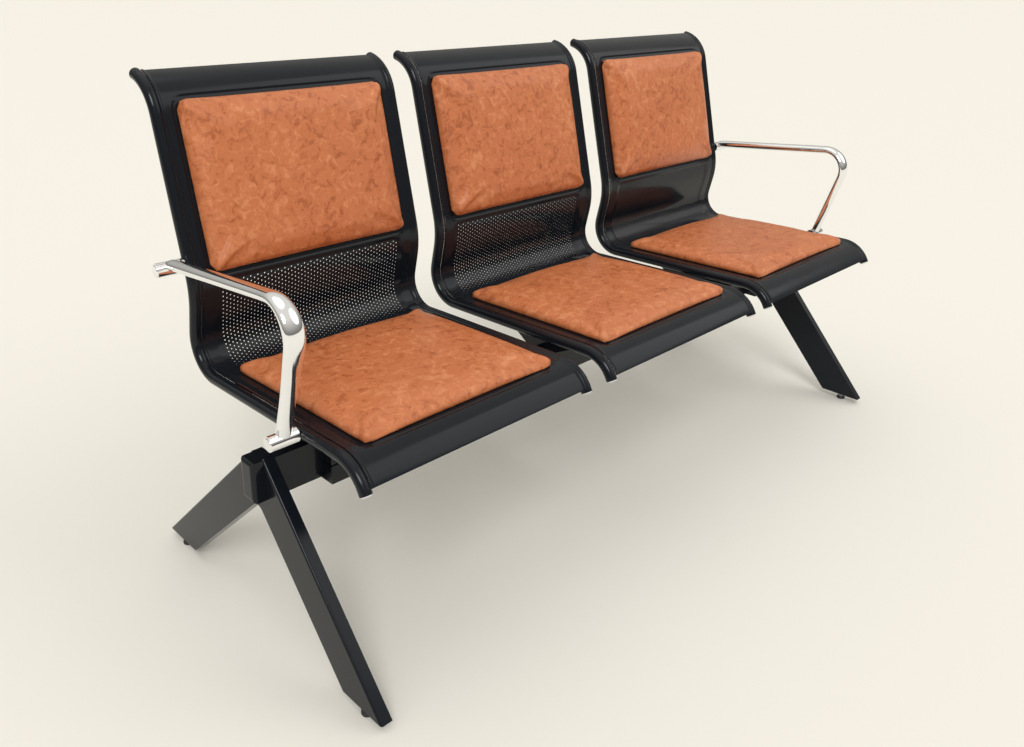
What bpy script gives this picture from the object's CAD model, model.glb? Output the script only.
import math

import bmesh
import bpy
from mathutils import Matrix, Vector


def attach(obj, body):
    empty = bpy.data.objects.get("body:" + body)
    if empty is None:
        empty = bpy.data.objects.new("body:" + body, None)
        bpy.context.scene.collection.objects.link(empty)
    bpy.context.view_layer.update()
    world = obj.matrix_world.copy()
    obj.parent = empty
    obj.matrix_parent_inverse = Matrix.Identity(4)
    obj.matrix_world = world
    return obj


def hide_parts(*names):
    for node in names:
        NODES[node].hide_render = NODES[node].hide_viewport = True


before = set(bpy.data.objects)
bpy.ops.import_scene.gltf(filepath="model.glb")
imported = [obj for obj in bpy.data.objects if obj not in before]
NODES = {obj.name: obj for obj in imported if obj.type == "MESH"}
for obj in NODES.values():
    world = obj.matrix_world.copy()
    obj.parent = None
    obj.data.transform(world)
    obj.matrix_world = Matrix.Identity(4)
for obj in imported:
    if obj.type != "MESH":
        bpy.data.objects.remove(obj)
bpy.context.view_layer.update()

bl_info = {
    "name": "Beam bench",
    "version": (1, 0, 0),
    "blender": (4, 5, 0),
    "location": "View3D > Sidebar > Bench",
    "description": "Dresses a three-place beam bench: shells, cushions, armrests, finishes and stage",
    "category": "Object",
}

SEATS = ("seat1", "seat2", "seat3")
ENDS = {"left": -1, "right": 1}

# The camera, in degrees, metres and pixels of the photograph
PICTURE_WIDTH = 1024
PICTURE_HEIGHT = 747
FOCAL_PIXELS = 882.89
CENTRE_PIXEL = (473.22, 310.19)
CAMERA_TURN = (43.772, 21.329, 0.818)
CAMERA_PLACE = (-1.38826, -1.13739, 1.06172)
SENSOR_WIDTH = 36.0

# The cushions' start form and how far the pressure moves it, in metres
CUSHION_SLACK = 0.0032
CUSHION_CORNER = 0.012
CUSHION_CROWN = 0.0045
CUSHION_SWELL = 0.0055
CUSHION_FRAMES = 20
TRAY_CORNER = 0.026


# Sizes and colours that a user would change

def length(name, description, default):
    return bpy.props.FloatProperty(name=name, description=description, default=default,
                                   unit="LENGTH", precision=4)


def turn(name, description, degrees):
    return bpy.props.FloatProperty(name=name, description=description,
                                   default=math.radians(degrees), subtype="ANGLE")


def colour(name, description, default):
    return bpy.props.FloatVectorProperty(name=name, description=description, default=default,
                                         size=4, min=0.0, max=1.0, subtype="COLOR")


def srgb(red, green, blue):
    """Scene colour of a swatch given as 0 to 255 values."""
    out = []
    for part in (red, green, blue):
        part = part / 255
        out.append(part / 12.92 if part <= 0.04045 else ((part + 0.055) / 1.055) ** 2.4)
    return (*out, 1.0)


class BenchLine(bpy.types.PropertyGroup):
    """Bent line that the side tubes and the shells follow."""
    start_y: length("Front end Y", "Where the side tube starts under the front edge", -0.2908)
    start_z: length("Front end Z", "Height of the side tube's front end", 0.38225)
    start_angle: turn("Front end angle", "Direction of the tube at its front end", 60.3)
    front_drop: length("Front drop", "Straight end below the front bend", 0.007)
    front_bend: length("Front bend", "Radius of the front bend", 0.064)
    front_turn: turn("Front turn", "Angle of the front bend", 62.0)
    seat_run: length("Seat run", "Straight run under the seat cushion", 0.352)
    rear_bend: length("Rear bend", "Radius between the seat and the back", 0.0576)
    rear_turn: turn("Rear turn", "Angle between the seat and the back", 103.2)
    lumbar_run: length("Lumbar run", "Straight run above the rear bend", 0.042)
    lumbar_bend: length("Lumbar bend", "Radius of the lumbar bend", 0.1432)
    lumbar_turn: turn("Lumbar turn", "Angle of the lumbar bend", 25.6)
    back_run: length("Back run", "Straight run behind the back cushion", 0.2587)
    top_bend: length("Top bend", "Radius of the bend at the top", 0.0779)
    top_turn: turn("Top turn", "Angle of the bend at the top", 64.9)


class BenchSizes(bpy.types.PropertyGroup):
    """Sizes of the pieces made here."""
    pitch: length("Place pitch", "Distance from one place to the next", 0.540)
    width: length("Frame width", "Distance between the side tubes of a place", 0.4712)
    tube: length("Tube radius", "Outer radius of the side tubes", 0.010)
    shell_half: length("Shell half width", "Half the width of the sheet shell", 0.2264)
    shell_rise: length("Shell rise", "Height of the sheet above the tube's middle", 0.0042)
    shell_sheet: length("Shell thickness", "Thickness of the sheet shell", 0.0016)
    shell_short: length("Shell short", "How far the sheet stops before the tube ends", 0.006)
    tray_depth: length("Tray depth", "Depth of the pressed trays under the cushions", 0.0018)
    tray_rim: length("Tray rim", "Gap between a cushion and its tray's wall", 0.006)
    lip_rise: length("Lip rise", "Rise of the sheet where it meets the tubes", 0.0016)
    pad_rise: length("Cushion rise", "Height of the cushions' undersides over the tube's middle", 0.0061)
    seat_pad_start: length("Seat cushion start", "Its front edge from the start of the seat run", -0.016)
    seat_pad_long: length("Seat cushion depth", "Front to rear size of the seat cushion", 0.3624)
    seat_pad_wide: length("Seat cushion width", "Width of the seat cushion", 0.41004)
    seat_pad_side: length("Seat cushion side", "Height of its sides", 0.017)
    back_pad_start: length("Back cushion start", "Its lower edge from the start of the back run", -0.009)
    back_pad_long: length("Back cushion height", "Height of the back cushion", 0.288)
    back_pad_wide: length("Back cushion width", "Width of the back cushion", 0.41304)
    back_pad_side: length("Back cushion side", "Thickness of its sides", 0.022)
    hole_gap: length("Hole gap", "Plain strip between the seat cushion and the first holes", 0.013)
    hole_column: length("Hole column", "Distance between columns of holes", 0.0068)
    hole_pitch: length("Hole pitch", "Distance between holes in a row", 0.00785)
    hole_radius: length("Hole radius", "Radius of the punched holes", 0.0014)
    hole_columns: bpy.props.IntProperty(name="Hole columns", description="Columns of holes",
                                        default=56, min=2)
    hole_rows: bpy.props.IntProperty(name="Hole rows", description="Holes in a column",
                                     default=23, min=2)

    def hole_first(self, line):
        return line.seat + self.seat_pad_start + self.seat_pad_long + self.hole_gap

    def hole_last(self, line):
        return self.hole_first(line) + self.hole_rows * self.hole_pitch

    def hole_middle(self, line):
        return (self.hole_first(line) + self.hole_last(line)) / 2

    def hole_reach(self):
        return self.hole_rows * self.hole_pitch / 2

    def hole_half(self):
        return self.hole_columns * self.hole_column / 2


class BenchArm(bpy.types.PropertyGroup):
    """Line and section of an armrest, seen from the side."""
    side: length("Side", "Distance of the armrest from the middle of the bench", 0.8075)
    rear_y: length("Rear Y", "Where the armrest leaves the rear tube", 0.178125)
    rear_z: length("Rear Z", "Height where the armrest leaves the rear tube", 0.6)
    rise_angle: turn("Rise angle", "Direction in which it leaves the rear tube", 130.0)
    rise_bend: length("Rise bend", "Radius of the bend behind the top run", 0.024)
    rise_turn: turn("Rise turn", "Angle of the bend behind the top run", 44.5)
    top_run: length("Top run", "Length of the straight top run", 0.296)
    bend: length("Bend", "Radius of the front bend", 0.048)
    bend_turn: turn("Bend turn", "Angle of the front bend", 112.3)
    foot_run: length("Foot run", "Length of the straight front run", 0.1606)
    crest_turn: turn("Crest turn", "Where on the front bend it is widest", 87.0)
    rear_swell: length("Rear swell", "Length over which it widens behind the crest", 0.110)
    foot_swell: length("Foot swell", "Length over which it narrows below the crest", 0.125)
    narrow: length("Narrow", "Width at the joints", 0.026)
    wide: length("Wide", "Width at the crest", 0.035)
    thick: length("Thick", "Thickness of the armrest", 0.0185)


class BenchColours(bpy.types.PropertyGroup):
    """Colours of the finishes."""
    paint: colour("Black paint", "Gloss powder coat of the steel", (0.004, 0.0058, 0.0095, 1.0))
    chrome: colour("Chrome", "Polished plating of the armrests", (0.80, 0.81, 0.83, 1.0))
    cover_light: colour("Cover light", "Light blotches of the cover", srgb(217, 140, 94))
    cover_mid: colour("Cover middle", "Main colour of the cover", srgb(201, 118, 72))
    cover_dark: colour("Cover dark", "Dark blotches of the cover", srgb(172, 94, 54))
    plug: colour("Plug", "Metal of the tube plugs", (0.66, 0.67, 0.69, 1.0))
    zinc: colour("Zinc", "Plating of bolts and studs", (0.45, 0.46, 0.47, 1.0))
    rubber: colour("Foot", "Moulded feet", srgb(34, 34, 36))
    floor: colour("Floor", "Pale floor and backdrop", srgb(243, 240, 232))


# Finishes

def new_material(name):
    material = bpy.data.materials.new(name)
    material.use_nodes = True
    tree = material.node_tree
    tree.nodes.clear()
    out = tree.nodes.new("ShaderNodeOutputMaterial")
    shader = tree.nodes.new("ShaderNodeBsdfPrincipled")
    tree.links.new(shader.outputs["BSDF"], out.inputs["Surface"])
    place = tree.nodes.new("ShaderNodeTexCoord")
    return material, tree, shader, place


def node(tree, kind, values=None, **settings):
    made = tree.nodes.new(kind)
    for key, value in settings.items():
        setattr(made, key, value)
    for key, value in (values or {}).items():
        made.inputs[key].default_value = value
    return made


def link(tree, *pairs):
    for source, target in pairs:
        tree.links.new(source, target)


def group(name, inputs, outputs):
    """Empty shader node group with float, colour and vector sockets."""
    made = bpy.data.node_groups.new(name, "ShaderNodeTree")
    for label, kind, value in inputs:
        socket = made.interface.new_socket(name=label, in_out="INPUT", socket_type=kind)
        if value is not None:
            socket.default_value = value
    for label, kind in outputs:
        made.interface.new_socket(name=label, in_out="OUTPUT", socket_type=kind)
    return made, made.nodes.new("NodeGroupInput"), made.nodes.new("NodeGroupOutput")


def surface_wear_group():
    """Uneven gloss and a fine orange peel, for paint, plating and plastic."""
    made, start, end = group("Surface wear", [
        ("Vector", "NodeSocketVector", None),
        ("Patch scale", "NodeSocketFloat", 6.0),
        ("Peel scale", "NodeSocketFloat", 420.0),
        ("Rough low", "NodeSocketFloat", 0.2),
        ("Rough high", "NodeSocketFloat", 0.35),
    ], [("Roughness", "NodeSocketFloat"), ("Peel", "NodeSocketFloat"), ("Patches", "NodeSocketFloat")])
    patches = node(made, "ShaderNodeTexNoise", {"Detail": 4.0, "Roughness": 0.6})
    peel = node(made, "ShaderNodeTexNoise", {"Detail": 2.0, "Roughness": 0.5})
    spread = node(made, "ShaderNodeMapRange", {"From Min": 0.3, "From Max": 0.7})
    link(made,
         (start.outputs["Vector"], patches.inputs["Vector"]),
         (start.outputs["Patch scale"], patches.inputs["Scale"]),
         (start.outputs["Vector"], peel.inputs["Vector"]),
         (start.outputs["Peel scale"], peel.inputs["Scale"]),
         (patches.outputs["Fac"], spread.inputs["Value"]),
         (start.outputs["Rough low"], spread.inputs["To Min"]),
         (start.outputs["Rough high"], spread.inputs["To Max"]),
         (spread.outputs["Result"], end.inputs["Roughness"]),
         (peel.outputs["Fac"], end.inputs["Peel"]),
         (patches.outputs["Fac"], end.inputs["Patches"]))
    return made


def dust_group():
    """Faint dust that settles on faces turned up."""
    made, start, end = group("Settled dust", [
        ("Vector", "NodeSocketVector", None),
        ("Normal", "NodeSocketVector", None),
        ("Amount", "NodeSocketFloat", 0.05),
    ], [("Dust", "NodeSocketFloat")])
    split = node(made, "ShaderNodeSeparateXYZ")
    up = node(made, "ShaderNodeMapRange", {"From Min": 0.55, "From Max": 1.0})
    spots = node(made, "ShaderNodeTexNoise", {"Scale": 38.0, "Detail": 5.0, "Roughness": 0.7})
    both = node(made, "ShaderNodeMath", operation="MULTIPLY")
    scaled = node(made, "ShaderNodeMath", operation="MULTIPLY")
    link(made,
         (start.outputs["Normal"], split.inputs[0]),
         (split.outputs["Z"], up.inputs["Value"]),
         (start.outputs["Vector"], spots.inputs["Vector"]),
         (up.outputs["Result"], both.inputs[0]),
         (spots.outputs["Fac"], both.inputs[1]),
         (both.outputs[0], scaled.inputs[0]),
         (start.outputs["Amount"], scaled.inputs[1]),
         (scaled.outputs[0], end.inputs["Dust"]))
    return made


def place_group(tree, name):
    made = tree.nodes.new("ShaderNodeGroup")
    made.node_tree = bpy.data.node_groups[name]
    return made


def coated_metal(name, tint, low, high, metallic=0.0, peel=0.02, dust=0.04, specular=0.5):
    """Painted or plated metal with uneven gloss, orange peel and dust."""
    material, tree, shader, place = new_material(name)
    wear = place_group(tree, "Surface wear")
    wear.inputs["Rough low"].default_value = low
    wear.inputs["Rough high"].default_value = high
    settled = place_group(tree, "Settled dust")
    settled.inputs["Amount"].default_value = dust
    facing = node(tree, "ShaderNodeNewGeometry")
    shade = node(tree, "ShaderNodeMix", data_type="RGBA")
    shade.inputs["A"].default_value = tint
    shade.inputs["B"].default_value = tuple(min(1.0, part * 1.25 + 0.004) for part in tint[:3]) + (1.0,)
    grey = node(tree, "ShaderNodeMix", data_type="RGBA")
    grey.inputs["B"].default_value = (0.45, 0.44, 0.42, 1.0)
    bump = node(tree, "ShaderNodeBump", {"Strength": peel, "Distance": 0.0006})
    link(tree,
         (place.outputs["Object"], wear.inputs["Vector"]),
         (place.outputs["Object"], settled.inputs["Vector"]),
         (facing.outputs["Normal"], settled.inputs["Normal"]),
         (wear.outputs["Patches"], shade.inputs["Factor"]),
         (shade.outputs["Result"], grey.inputs["A"]),
         (settled.outputs["Dust"], grey.inputs["Factor"]),
         (grey.outputs["Result"], shader.inputs["Base Color"]),
         (wear.outputs["Roughness"], shader.inputs["Roughness"]),
         (wear.outputs["Peel"], bump.inputs["Height"]),
         (bump.outputs["Normal"], shader.inputs["Normal"]))
    shader.inputs["Metallic"].default_value = metallic
    shader.inputs["Specular IOR Level"].default_value = specular
    return material


def leatherette(name, light, middle, dark):
    """Mottled coated cloth with fine creases."""
    material, tree, shader, place = new_material(name)
    warp = node(tree, "ShaderNodeTexNoise", {"Scale": 30.0, "Detail": 3.0})
    shift = node(tree, "ShaderNodeVectorMath", operation="MULTIPLY_ADD")
    shift.inputs[1].default_value = (0.02, 0.02, 0.02)
    clouds = node(tree, "ShaderNodeTexNoise", {"Scale": 62.0, "Detail": 6.0, "Roughness": 0.68,
                                               "Distortion": 0.8})
    broad = node(tree, "ShaderNodeTexNoise", {"Scale": 9.0, "Detail": 3.0})
    blend = node(tree, "ShaderNodeMath", operation="MULTIPLY_ADD")
    blend.inputs[1].default_value = 0.3
    ramp = node(tree, "ShaderNodeValToRGB")
    stops = ramp.color_ramp.elements
    stops[0].position, stops[0].color = 0.5, dark
    stops[1].position, stops[1].color = 0.8, light
    for spot, tint in ((0.61, middle), (0.68, middle)):
        stops.new(spot).color = tint
    creases = node(tree, "ShaderNodeTexVoronoi", {"Scale": 62.0, "Randomness": 1.0},
                   feature="DISTANCE_TO_EDGE")
    soft = node(tree, "ShaderNodeMapRange", {"From Min": 0.0, "From Max": 0.12})
    grain = node(tree, "ShaderNodeTexVoronoi", {"Scale": 700.0}, feature="F1")
    height = node(tree, "ShaderNodeMath", operation="MULTIPLY_ADD")
    height.inputs[1].default_value = 0.22
    gloss = node(tree, "ShaderNodeMapRange", {"From Min": 0.3, "From Max": 0.7,
                                              "To Min": 0.34, "To Max": 0.5})
    bump = node(tree, "ShaderNodeBump", {"Strength": 0.32, "Distance": 0.0007})
    link(tree,
         (place.outputs["Object"], warp.inputs["Vector"]),
         (warp.outputs["Color"], shift.inputs[0]),
         (place.outputs["Object"], shift.inputs[2]),
         (shift.outputs[0], clouds.inputs["Vector"]),
         (place.outputs["Object"], broad.inputs["Vector"]),
         (broad.outputs["Fac"], blend.inputs[0]),
         (clouds.outputs["Fac"], blend.inputs[2]),
         (blend.outputs[0], ramp.inputs["Fac"]),
         (ramp.outputs["Color"], shader.inputs["Base Color"]),
         (shift.outputs[0], creases.inputs["Vector"]),
         (creases.outputs["Distance"], soft.inputs["Value"]),
         (place.outputs["Object"], grain.inputs["Vector"]),
         (grain.outputs["Distance"], height.inputs[0]),
         (soft.outputs["Result"], height.inputs[2]),
         (height.outputs[0], bump.inputs["Height"]),
         (bump.outputs["Normal"], shader.inputs["Normal"]),
         (clouds.outputs["Fac"], gloss.inputs["Value"]),
         (gloss.outputs["Result"], shader.inputs["Roughness"]))
    shader.inputs["Specular IOR Level"].default_value = 0.45
    return material


def dress(material, *names):
    for name in names:
        slots = NODES[name].data.materials
        slots.clear()
        slots.append(material)


class BENCH_OT_finishes(bpy.types.Operator):
    """Make the shared finishes of paint, chrome, plating and plastic"""
    bl_idname = "bench.finishes"
    bl_label = "Finishes"

    def execute(self, context):
        tints = context.scene.bench_colours
        surface_wear_group()
        dust_group()
        coated_metal("Black powder coat", tuple(tints.paint), 0.1, 0.2, peel=0.03, dust=0.004, specular=0.25)
        coated_metal("Polished chrome", tuple(tints.chrome), 0.04, 0.1, metallic=1.0, peel=0.008, dust=0.02)
        coated_metal("Plug metal", tuple(tints.plug), 0.2, 0.4, metallic=1.0)
        coated_metal("Zinc plating", tuple(tints.zinc), 0.25, 0.45, metallic=1.0)
        coated_metal("Moulded foot", tuple(tints.rubber), 0.45, 0.6, peel=0.08)
        leatherette("Mottled leatherette", tuple(tints.cover_light), tuple(tints.cover_mid),
                    tuple(tints.cover_dark))
        return {"FINISHED"}


class BENCH_OT_steelwork(bpy.types.Operator):
    """Give the beam, legs, brackets, bolts and feet their finishes"""
    bl_idname = "bench.steelwork"
    bl_label = "Steelwork"

    def execute(self, context):
        looks = bpy.data.materials
        for name in NODES:
            if name.endswith("_foot"):
                dress(looks["Moulded foot"], name)
            elif name.endswith("_stud") or name in ("clamp_bolts", "hub_bolts", "pad_screws"):
                dress(looks["Zinc plating"], name)
            elif name == "tube_plugs":
                dress(looks["Plug metal"], name)
            elif "arm" in name:
                dress(looks["Polished chrome"], name)
            else:
                dress(looks["Black powder coat"], name)
        return {"FINISHED"}


# Shapes shared by the pieces

class SideLine:
    """The bent line of a side tube, by the distance along it from its front end."""

    def __init__(self, line):
        self.start = (line.start_y, line.start_z, line.start_angle)
        bend = [(line.front_bend, -line.front_turn), (line.rear_bend, line.rear_turn),
                (line.lumbar_bend, -line.lumbar_turn), (line.top_bend, -line.top_turn)]
        runs = [line.front_drop, line.seat_run, line.lumbar_run, line.back_run]
        self.parts = []
        for run, (radius, angle) in zip(runs, bend):
            self.parts += [(run, 0.0), (radius * abs(angle), angle)]
        self.marks = [0.0]
        for part, angle in self.parts:
            self.marks.append(self.marks[-1] + part)
        self.seat, self.seat_end = self.marks[2], self.marks[3]
        self.back, self.back_end = self.marks[6], self.marks[7]
        self.end = self.marks[8]

    def at(self, along):
        """Y, Z and direction of the line at a distance along it."""
        y, z, way = self.start
        for number, (part, angle) in enumerate(self.parts):
            last = number == len(self.parts) - 1
            step = along - self.marks[number]
            if not last:
                step = min(step, part)
            if angle:
                radius, new = part / angle, way + angle * step / part
                y += radius * (math.sin(new) - math.sin(way))
                z -= radius * (math.cos(new) - math.cos(way))
                way = new
            else:
                y += math.cos(way) * step
                z += math.sin(way) * step
            if step < part or last:
                return y, z, way

    def frame(self, x, along, rise=0.0):
        """Matrix with X across the bench, Y along the line and Z towards the sitter."""
        y, z, way = self.at(along)
        ahead = Vector((0.0, math.cos(way), math.sin(way)))
        over = Vector((0.0, -math.sin(way), math.cos(way)))
        place = Vector((x, y, z)) + over * rise
        side = Vector((1.0, 0.0, 0.0))
        return Matrix.Translation(place) @ Matrix((side, ahead, over)).transposed().to_4x4()

    def stations(self, first, last, turn_step, run_step):
        """Distances along the line, close together on bends and wide on straights."""
        marks = {first, last}
        for number, (part, angle) in enumerate(self.parts):
            low, high = max(first, self.marks[number]), min(last, self.marks[number + 1])
            if high - low < 1e-6:
                continue
            count = max(1, math.ceil((high - low) / (turn_step if angle else run_step)))
            marks |= {low + (high - low) * each / count for each in range(count + 1)}
        return sorted(marks)


def stations(*spans):
    """Sorted positions from spans of first, last and largest step."""
    marks = []
    for first, last, step in spans:
        count = max(1, math.ceil((last - first) / step - 1e-6))
        marks += [first + (last - first) * each / count for each in range(count + 1)]
    out = []
    for mark in sorted(marks):
        if not out or mark - out[-1] > 1e-5:
            out.append(mark)
    return out


def ease(low, high, value):
    """Smooth step from 0 at low to 1 at high."""
    part = min(1.0, max(0.0, (value - low) / (high - low)))
    return part * part * (3.0 - 2.0 * part)


def outside(x, y, half_x, half_y, corner):
    """How far a point lies outside a rectangle with round corners."""
    side, end = abs(x) - half_x + corner, abs(y) - half_y + corner
    return math.hypot(max(side, 0.0), max(end, 0.0)) + min(max(side, end), 0.0) - corner


def sweep(shape, frames, sides=24):
    """Closed tube through sections that are each a matrix of the unit circle."""
    ring = bmesh.ops.create_circle(shape, cap_ends=True, radius=1.0, segments=sides)["verts"]
    bmesh.ops.transform(shape, matrix=frames[0], verts=ring)
    edges = [edge for edge in shape.edges if all(vert in ring for vert in edge.verts)]
    for before, after in zip(frames, frames[1:]):
        made = bmesh.ops.extrude_edge_only(shape, edges=edges)["geom"]
        edges = [each for each in made if isinstance(each, bmesh.types.BMEdge)
                 and len(each.link_faces) == 1]
        moved = {vert for edge in edges for vert in edge.verts}
        bmesh.ops.transform(shape, matrix=after @ before.inverted(), verts=list(moved))
    bmesh.ops.edgeloop_fill(shape, edges=edges)
    bmesh.ops.recalc_face_normals(shape, faces=shape.faces[:])


def section(place, wide, thick, ahead, half_wide, half_thick):
    """Matrix that lays the unit circle as an ellipse across a path."""
    axes = Matrix((Vector(wide) * half_wide, Vector(thick) * half_thick, Vector(ahead))).transposed()
    return Matrix.Translation(place) @ axes.to_4x4()


def finish(name, shape, material, angle=35.0):
    """Object from a bmesh, smooth but for edges sharper than the angle."""
    mesh = bpy.data.meshes.new(name)
    shape.to_mesh(mesh)
    shape.free()
    mesh.materials.append(bpy.data.materials[material])
    mesh.shade_smooth()
    mesh.set_sharp_from_angle(angle=math.radians(angle))
    piece = bpy.data.objects.new(name, mesh)
    bpy.context.scene.collection.objects.link(piece)
    return piece


def mount(piece, slot, *names):
    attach(piece, "bench")
    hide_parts(*names)


# Sheet shells

def hole_field(sizes, width, centre_x, first):
    """Sheet with rows of round holes, each second column moved by half a pitch."""
    field = bmesh.new()
    for odd in (0, 1):
        cell = bmesh.new()
        reach = Matrix.Diagonal((width / 2, sizes.hole_pitch / 2, 1.0, 1.0))
        bmesh.ops.create_grid(cell, x_segments=2, y_segments=2, size=1.0, matrix=reach)
        bmesh.ops.delete(cell, geom=cell.faces[:], context="FACES_ONLY")
        middle = [vert for vert in cell.verts if vert.co.length < 1e-6]
        bmesh.ops.delete(cell, geom=middle, context="VERTS")
        bmesh.ops.create_circle(cell, cap_ends=False, radius=sizes.hole_radius, segments=8)
        bmesh.ops.bridge_loops(cell, edges=cell.edges[:])
        rows = sizes.hole_rows - odd
        start = (centre_x + odd * width, first + (1 + odd) * sizes.hole_pitch / 2, 0.0)
        bmesh.ops.translate(cell, vec=start, verts=cell.verts[:])
        bmesh.ops.spin(cell, geom=cell.faces[:] + cell.edges[:] + cell.verts[:], steps=rows - 1,
                       dvec=(0.0, sizes.hole_pitch, 0.0), axis=(0.0, 0.0, 1.0), angle=0.0,
                       use_duplicate=True)
        bmesh.ops.spin(cell, geom=cell.faces[:] + cell.edges[:] + cell.verts[:],
                       steps=(sizes.hole_columns - 1 - odd) // 2,
                       dvec=(2 * width, 0.0, 0.0), axis=(0.0, 0.0, 1.0), angle=0.0,
                       use_duplicate=True)
        part = bpy.data.meshes.new("holes")
        cell.to_mesh(part)
        cell.free()
        field.from_mesh(part)
        bpy.data.meshes.remove(part)
    return field


class BENCH_OT_shells(bpy.types.Operator):
    """Press and punch the sheet shells between the side tubes"""
    bl_idname = "bench.shells"
    bl_label = "Shells"

    def execute(self, context):
        sizes = context.scene.bench_sizes
        line = SideLine(context.scene.bench_line)
        flat = self.flat_sheet(sizes, line)
        for number, seat in enumerate(SEATS):
            shell = bmesh.new()
            shell.from_mesh(flat)
            bmesh.ops.translate(shell, vec=((number - 1) * sizes.pitch, 0.0, 0.0), verts=shell.verts[:])
            piece = finish(seat + ".shell", shell, "Black powder coat", 40.0)
            mount(piece, "frame_black", seat + "_shell")
        bpy.data.meshes.remove(flat)
        return {"FINISHED"}

    def relief(self, sizes, line, x, along):
        """Height of the pressed sheet over the tube's middle."""
        seat_half, back_half = sizes.seat_pad_long / 2, sizes.back_pad_long / 2
        seat_mid = line.seat + sizes.seat_pad_start + seat_half
        back_mid = line.back + sizes.back_pad_start + back_half
        rim = sizes.tray_rim
        inside = min(
            outside(x, along - seat_mid, sizes.seat_pad_wide / 2 + rim, seat_half + rim, TRAY_CORNER),
            outside(x, along - back_mid, sizes.back_pad_wide / 2 + rim, back_half + rim, TRAY_CORNER))
        raised = sizes.tray_depth * ease(-0.0035, 0.0005, inside)
        holes = outside(x, along - sizes.hole_middle(line), sizes.hole_half(), sizes.hole_reach(), 0.01)
        raised *= ease(0.0, 0.006, holes) if along < line.back else 1.0
        lip = sizes.lip_rise * ease(sizes.shell_half - 0.0045, sizes.shell_half + 0.001, abs(x))
        return sizes.shell_rise + sizes.shell_sheet + raised + lip

    def flat_sheet(self, sizes, line):
        wide = sizes.hole_half() / sizes.hole_columns
        first, last = sizes.shell_short, line.end - sizes.shell_short
        holes_first, holes_last = sizes.hole_first(line), sizes.hole_last(line)
        margin, field = sizes.shell_half + 0.0025, sizes.hole_half()
        tray = sizes.seat_pad_wide / 2
        side = stations((field, tray, 0.008), (tray, tray + 0.009, 0.0015),
                        (tray + 0.009, margin - 0.008, 0.003), (margin - 0.008, margin, 0.001))
        middle = stations((-field, field, wide))
        across = [-x for x in reversed(side)] + middle[1:-1] + side
        seat_front = line.seat + sizes.seat_pad_start
        seat_rear = seat_front + sizes.seat_pad_long
        back_low = line.back + sizes.back_pad_start
        back_high = back_low + sizes.back_pad_long
        near = sizes.tray_rim + 0.004
        lines = set(line.stations(first, seat_front - near, 0.0035, 0.01))
        lines |= set(stations((seat_front - near, seat_front + 0.012, 0.0013)))
        lines |= set(stations((seat_front + 0.012, seat_rear - 0.012, 0.028)))
        lines |= set(stations((seat_rear - 0.012, holes_first, 0.0013)))
        lines |= set(stations((holes_first, holes_last, sizes.hole_pitch / 2)))
        lines |= set(stations((holes_last, back_low + 0.012, 0.0014)))
        lines |= set(stations((back_low + 0.012, line.back_end, 0.028)))
        lines |= set(stations((line.back_end, back_high - 0.012, 0.004),
                              (back_high - 0.012, back_high + near, 0.0013)))
        lines |= set(line.stations(back_high + near, last, 0.004, 0.01))
        along = stations(*((mark, mark + 1e-7, 1.0) for mark in lines))
        sheet = bmesh.new()
        bmesh.ops.create_grid(sheet, x_segments=len(across) - 1, y_segments=len(along) - 1, size=0.5)
        for vert in sheet.verts:
            column = round((vert.co.x + 0.5) * (len(across) - 1))
            row = round((vert.co.y + 0.5) * (len(along) - 1))
            vert.co = (across[column], along[row], 0.0)
        punched = []
        for face in sheet.faces:
            spot = face.calc_center_median()
            column = math.floor((spot.x + field) / (2 * wide) + 1e-6)
            if abs(spot.x) < field:
                slip = (column % 2) * sizes.hole_pitch / 2
                if holes_first + slip < spot.y < holes_last - slip:
                    punched.append(face)
        bmesh.ops.delete(sheet, geom=punched, context="FACES")
        holes = hole_field(sizes, 2 * wide, -field + wide, holes_first)
        part = bpy.data.meshes.new("holes")
        holes.to_mesh(part)
        holes.free()
        sheet.from_mesh(part)
        bpy.data.meshes.remove(part)
        bmesh.ops.remove_doubles(sheet, verts=sheet.verts[:], dist=2e-5)
        spare = []
        for edge in sheet.edges:
            ends = [vert.co for vert in edge.verts]
            before = max(each.y for each in ends) < holes_first - 0.001
            after = min(each.y for each in ends) > holes_last + 0.001
            step = round((ends[0].x + field) / wide)
            level = abs(ends[0].x - ends[1].x) < 1e-5 and abs(ends[0].x) < field - 1e-4
            if (before or after) and level and step % 4:
                spare.append(edge)
        bmesh.ops.dissolve_edges(sheet, edges=spare, use_verts=True)
        for vert in sheet.verts:
            x, where = vert.co.x, vert.co.y
            vert.co = line.frame(x, where, self.relief(sizes, line, x, where)).translation
        bmesh.ops.recalc_face_normals(sheet, faces=sheet.faces[:])
        up = sum(face.normal.z for face in sheet.faces)
        if up < 0:
            bmesh.ops.reverse_faces(sheet, faces=sheet.faces[:])
        bmesh.ops.solidify(sheet, geom=sheet.faces[:], thickness=sizes.shell_sheet)
        mesh = bpy.data.meshes.new("flat")
        sheet.to_mesh(mesh)
        sheet.free()
        return mesh


# Cushions

def cushion_form(wide, long, side, corner):
    """Slim box with round corners that the pressure swells into a cushion."""
    shape = bmesh.new()
    size = Matrix.Diagonal((wide, long, side, 1.0))
    bmesh.ops.create_cube(shape, size=1.0, matrix=Matrix.Translation((0.0, 0.0, side / 2)) @ size)
    upright = [edge for edge in shape.edges
               if abs(edge.verts[0].co.z - edge.verts[1].co.z) > side / 2]
    bmesh.ops.bevel(shape, geom=upright, offset=corner, segments=8, profile=0.5,
                    affect="EDGES", material=-1)
    rim = [edge for edge in shape.edges if all(vert.co.z > side * 0.9 for vert in edge.verts)]
    bmesh.ops.bevel(shape, geom=rim, offset=side * 0.45, segments=4, profile=0.5,
                    affect="EDGES", material=-1)
    return shape


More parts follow.
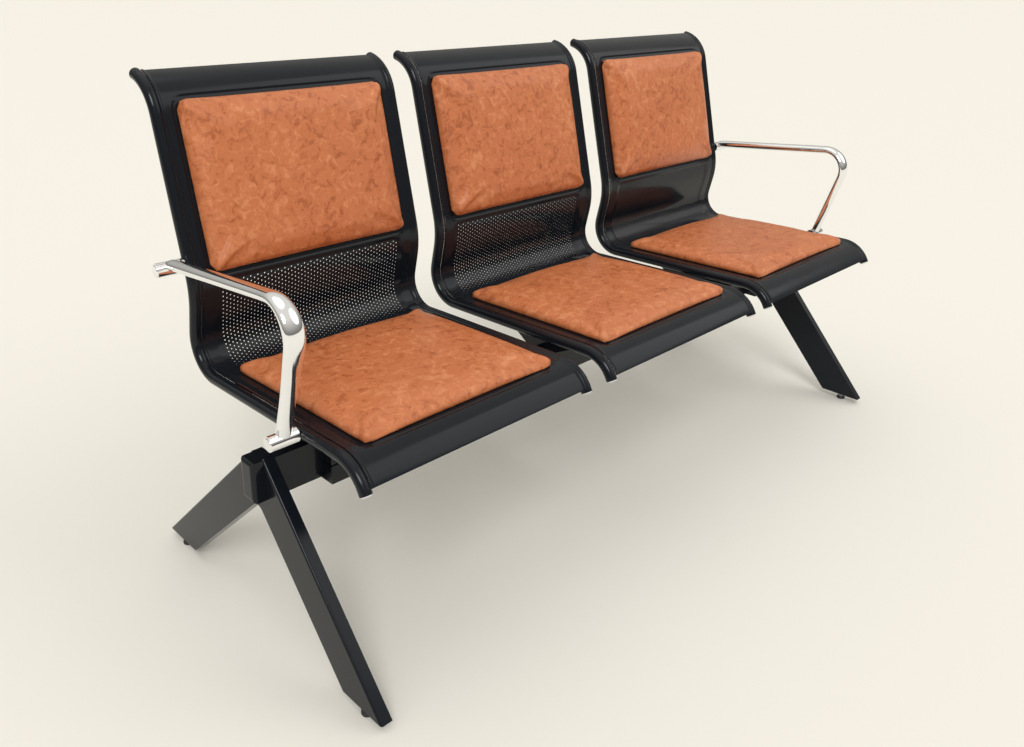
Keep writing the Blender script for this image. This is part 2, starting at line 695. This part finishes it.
class BENCH_OT_cushions(bpy.types.Operator):
    """Blow up the seat and back cushions and lay them on the shells"""
    bl_idname = "bench.cushions"
    bl_label = "Cushions"

    def execute(self, context):
        sizes = context.scene.bench_sizes
        line = SideLine(context.scene.bench_line)
        seat = self.cushion(context, "seat", sizes.seat_pad_wide, sizes.seat_pad_long, sizes.seat_pad_side)
        back = self.cushion(context, "back", sizes.back_pad_wide, sizes.back_pad_long, sizes.back_pad_side)
        for number, name in enumerate(SEATS):
            x = (number - 1) * sizes.pitch
            middle = line.seat + sizes.seat_pad_start + sizes.seat_pad_long / 2
            self.lay(name + ".seat_cushion", seat, line, (x, middle, sizes.pad_rise), name + "_seat_pad")
            middle = line.back + sizes.back_pad_start + sizes.back_pad_long / 2
            self.lay(name + ".back_cushion", back, line, (x, middle, sizes.pad_rise), name + "_back_pad")
        for mesh in (seat, back):
            bpy.data.meshes.remove(mesh)
        return {"FINISHED"}

    def lay(self, name, mesh, line, place, cad_name):
        """Copy of a cushion bent along the side line."""
        shape = bmesh.new()
        shape.from_mesh(mesh)
        for vert in shape.verts:
            spot = vert.co + Vector(place)
            vert.co = line.frame(*spot).translation
        piece = finish(name, shape, "Mottled leatherette", 180.0)
        mount(piece, "pad_leatherette", cad_name)

    def cushion(self, context, name, wide, long, side):
        """Mesh of a cushion lying flat on its own middle."""
        shape = cushion_form(wide - 2 * CUSHION_SLACK, long - 2 * CUSHION_SLACK, side, CUSHION_CORNER)
        mesh = bpy.data.meshes.new(name)
        shape.to_mesh(mesh)
        shape.free()
        pad = bpy.data.objects.new(name, mesh)
        context.scene.collection.objects.link(pad)
        weave = pad.modifiers.new("Remesh", "REMESH")
        weave.mode = "VOXEL"
        weave.voxel_size = 0.0058
        weave.adaptivity = 0.0
        self.bake(context, pad)
        for vert in pad.data.vertices:
            fall = (1.0 - (2.0 * vert.co.x / wide) ** 4) * (1.0 - (2.0 * vert.co.y / long) ** 4)
            vert.co.z += CUSHION_CROWN * max(0.0, fall) * max(0.0, vert.co.z) / side
        self.swell(context, pad, side)
        round_off = pad.modifiers.new("Subdivision", "SUBSURF")
        round_off.levels = round_off.render_levels = 1
        self.bake(context, pad)
        self.puckers(pad.data, wide, long, side)
        mesh = pad.data
        bpy.data.objects.remove(pad)
        return mesh

    def bake(self, context, pad):
        """Leave the result of the modifiers in the mesh."""
        shown = pad.evaluated_get(context.evaluated_depsgraph_get())
        mesh = bpy.data.meshes.new_from_object(shown)
        old = pad.data
        pad.modifiers.clear()
        pad.data = mesh
        bpy.data.meshes.remove(old)

    def swell(self, context, pad, side):
        start = [vert.co.copy() for vert in pad.data.vertices]
        board = pad.vertex_groups.new(name="board")
        board.add([each for each, spot in enumerate(start) if spot.z < side * 0.14], 1.0, "REPLACE")
        cloth = pad.modifiers.new("Cloth", "CLOTH")
        cloth.settings.quality = 6
        cloth.settings.mass = 0.3
        cloth.settings.tension_stiffness = 26.0
        cloth.settings.compression_stiffness = 26.0
        cloth.settings.bending_stiffness = 4.0
        cloth.settings.use_pressure = True
        cloth.settings.uniform_pressure_force = 4.0
        cloth.settings.vertex_group_mass = "board"
        cloth.settings.effector_weights.gravity = 0.0
        cloth.collision_settings.use_collision = False
        cloth.point_cache.frame_start = 1
        cloth.point_cache.frame_end = CUSHION_FRAMES
        for number in range(1, CUSHION_FRAMES + 1):
            context.scene.frame_set(number)
        self.bake(context, pad)
        context.scene.frame_set(1)
        for vert, spot in zip(pad.data.vertices, start):
            move = vert.co - spot
            if move.length > CUSHION_SWELL:
                vert.co = spot + move.normalized() * CUSHION_SWELL

    def puckers(self, mesh, wide, long, side):
        """Small gathers where the cover is pulled round the corners."""
        for vert in mesh.vertices:
            spot = vert.co
            corner = Vector((math.copysign(wide / 2 - 0.03, spot.x), math.copysign(long / 2 - 0.03, spot.y)))
            reach = Vector((spot.x, spot.y)) - corner
            if min(abs(spot.x) - abs(corner.x), abs(spot.y) - abs(corner.y)) < -0.01 or spot.z < 0.001:
                continue
            angle = math.atan2(reach.y, reach.x)
            depth = ease(0.018, 0.034, reach.length) * ease(0.002, 0.008, spot.z)
            fold = math.sin(angle * 22.0) * 0.00035 * depth
            vert.co = spot + Vector((reach.x, reach.y, 0.0)).normalized() * fold


# Armrests

class BENCH_OT_armrests(bpy.types.Operator):
    """Draw the flattened chrome armrests at both ends"""
    bl_idname = "bench.armrests"
    bl_label = "Armrests"

    def execute(self, context):
        arm = context.scene.bench_arm
        for name, hand in ENDS.items():
            shape = bmesh.new()
            sweep(shape, self.sections(arm, hand), 40)
            piece = finish(name + ".armrest", shape, "Polished chrome", 50.0)
            mount(piece, "arm_chrome", name + "_arm")
        return {"FINISHED"}

    def sections(self, arm, hand):
        """Ellipses across the armrest from its rear joint to its front foot."""
        parts = [(arm.rise_bend * arm.rise_turn, arm.rise_turn), (arm.top_run, 0.0),
                 (arm.bend * arm.bend_turn, arm.bend_turn), (arm.foot_run, 0.0)]
        crest = parts[0][0] + parts[1][0] + arm.bend * arm.crest_turn
        frames = []
        start, before = (arm.rear_y, arm.rear_z, arm.rise_angle), 0.0
        for part, angle in parts:
            count = max(1, round(part / 0.006))
            for each in range(count + (part == arm.foot_run)):
                step = part * each / count
                y, z, way = self.move(start, step, part, angle)
                gone = before + step
                swell = arm.rear_swell if gone < crest else arm.foot_swell
                share = ease(0.0, 1.0, 1.0 - abs(gone - crest) / swell)
                width = arm.narrow + (arm.wide - arm.narrow) * share
                frames.append(section((hand * arm.side, y, z), (1.0, 0.0, 0.0),
                                      (0.0, -math.sin(way), math.cos(way)),
                                      (0.0, math.cos(way), math.sin(way)), width / 2, arm.thick / 2))
            start, before = self.move(start, part, part, angle), before + part
        return frames

    def move(self, start, step, part, angle):
        """Spot and direction a step further along a straight or a bend."""
        y, z, way = start
        if not angle:
            return y + math.cos(way) * step, z + math.sin(way) * step, way
        radius, new = part / angle, way + angle * step / part
        return (y + radius * (math.sin(new) - math.sin(way)),
                z - radius * (math.cos(new) - math.cos(way)), new)


# Stage

def stage_material(name, tint):
    material, tree, shader, place = new_material(name)
    shader.inputs["Base Color"].default_value = tint
    shader.inputs["Roughness"].default_value = 0.9
    shader.inputs["Specular IOR Level"].default_value = 0.1
    return material


class BENCH_OT_stage(bpy.types.Operator):
    """Lay the pale floor, hang soft lights and set the camera"""
    bl_idname = "bench.stage"
    bl_label = "Stage"

    def execute(self, context):
        tints = context.scene.bench_colours
        mesh = bpy.data.meshes.new("floor")
        shape = bmesh.new()
        bmesh.ops.create_grid(shape, x_segments=1, y_segments=1, size=300.0)
        shape.to_mesh(mesh)
        shape.free()
        floor = bpy.data.objects.new("floor", mesh)
        context.scene.collection.objects.link(floor)
        mesh.materials.append(stage_material("Pale floor", tuple(tints.floor)))
        self.world(context, tuple(tints.floor))
        self.lamp(context, "key", (-2.6, -2.6, 3.4), 1.15, 24.0)
        self.lamp(context, "fill", (2.8, -2.2, 2.6), 0.35, 40.0)
        self.lamp(context, "top", (0.0, 0.6, 3.6), 0.25, 50.0)
        self.camera(context)
        context.scene.view_settings.view_transform = "Standard"
        return {"FINISHED"}

    def world(self, context, tint):
        """Pale backdrop for the camera, and a room that is dimmer towards the horizon."""
        world = bpy.data.worlds.new("Pale room")
        world.use_nodes = True
        tree = world.node_tree
        tree.nodes.clear()
        out = tree.nodes.new("ShaderNodeOutputWorld")
        room = node(tree, "ShaderNodeBackground", {"Color": tint})
        seen = node(tree, "ShaderNodeBackground", {"Color": tint, "Strength": 1.0})
        path = node(tree, "ShaderNodeLightPath")
        mix = node(tree, "ShaderNodeMixShader")
        place = node(tree, "ShaderNodeTexCoord")
        split = node(tree, "ShaderNodeSeparateXYZ")
        dim = node(tree, "ShaderNodeMapRange", {"From Min": 0.0, "From Max": 0.7,
                                                "To Min": 0.15, "To Max": 0.85})
        link(tree,
             (place.outputs["Generated"], split.inputs[0]),
             (split.outputs["Z"], dim.inputs["Value"]),
             (dim.outputs["Result"], room.inputs["Strength"]),
             (path.outputs["Is Camera Ray"], mix.inputs[0]),
             (room.outputs[0], mix.inputs[1]),
             (seen.outputs[0], mix.inputs[2]),
             (mix.outputs[0], out.inputs["Surface"]))
        context.scene.world = world

    def lamp(self, context, name, place, power, spread):
        """Distant soft lamp in the direction of a place, aimed at the bench."""
        data = bpy.data.lights.new(name, "SUN")
        data.energy = power
        data.angle = math.radians(spread)
        lamp = bpy.data.objects.new(name, data)
        lamp.location = place
        lamp.rotation_euler = Vector(place).to_track_quat("Z", "Y").to_euler()
        context.scene.collection.objects.link(lamp)

    def camera(self, context):
        yaw, pitch, roll = (math.radians(each) for each in CAMERA_TURN)
        ahead = Vector((math.sin(yaw) * math.cos(pitch), math.cos(yaw) * math.cos(pitch), -math.sin(pitch)))
        right = Vector((math.cos(yaw), -math.sin(yaw), 0.0))
        up = right.cross(ahead)
        side = right * math.cos(roll) + up * math.sin(roll)
        over = up * math.cos(roll) - right * math.sin(roll)
        data = bpy.data.cameras.new("camera")
        data.sensor_width = SENSOR_WIDTH
        data.sensor_fit = "HORIZONTAL"
        data.lens = FOCAL_PIXELS / PICTURE_WIDTH * SENSOR_WIDTH
        data.shift_x = (PICTURE_WIDTH / 2 - CENTRE_PIXEL[0]) / PICTURE_WIDTH
        data.shift_y = (CENTRE_PIXEL[1] - PICTURE_HEIGHT / 2) / PICTURE_WIDTH
        data.clip_end = 1000.0
        view = bpy.data.objects.new("camera", data)
        view.matrix_world = Matrix((
            (side.x, over.x, -ahead.x, CAMERA_PLACE[0]),
            (side.y, over.y, -ahead.y, CAMERA_PLACE[1]),
            (side.z, over.z, -ahead.z, CAMERA_PLACE[2]),
            (0.0, 0.0, 0.0, 1.0)))
        context.scene.collection.objects.link(view)
        context.scene.camera = view


class BENCH_PT_panel(bpy.types.Panel):
    """Lists the pieces of the bench"""
    bl_idname = "BENCH_PT_panel"
    bl_label = "Bench"
    bl_space_type = "VIEW_3D"
    bl_region_type = "UI"
    bl_category = "Bench"

    def draw(self, context):
        for operator in STEPS:
            self.layout.operator(operator.bl_idname)


STEPS = (
    BENCH_OT_finishes,
    BENCH_OT_steelwork,
    BENCH_OT_shells,
    BENCH_OT_cushions,
    BENCH_OT_armrests,
    BENCH_OT_stage,
)
CLASSES = (BenchLine, BenchSizes, BenchArm, BenchColours, *STEPS, BENCH_PT_panel)


def register():
    for each in CLASSES:
        bpy.utils.register_class(each)
    bpy.types.Scene.bench_line = bpy.props.PointerProperty(type=BenchLine)
    bpy.types.Scene.bench_sizes = bpy.props.PointerProperty(type=BenchSizes)
    bpy.types.Scene.bench_arm = bpy.props.PointerProperty(type=BenchArm)
    bpy.types.Scene.bench_colours = bpy.props.PointerProperty(type=BenchColours)


def unregister():
    del bpy.types.Scene.bench_colours
    del bpy.types.Scene.bench_arm
    del bpy.types.Scene.bench_sizes
    del bpy.types.Scene.bench_line
    for each in reversed(CLASSES):
        bpy.utils.unregister_class(each)


def main():
    register()
    for step in STEPS:
        family, name = step.bl_idname.split(".")
        getattr(getattr(bpy.ops, family), name)()


if __name__ == "__main__":
    main()
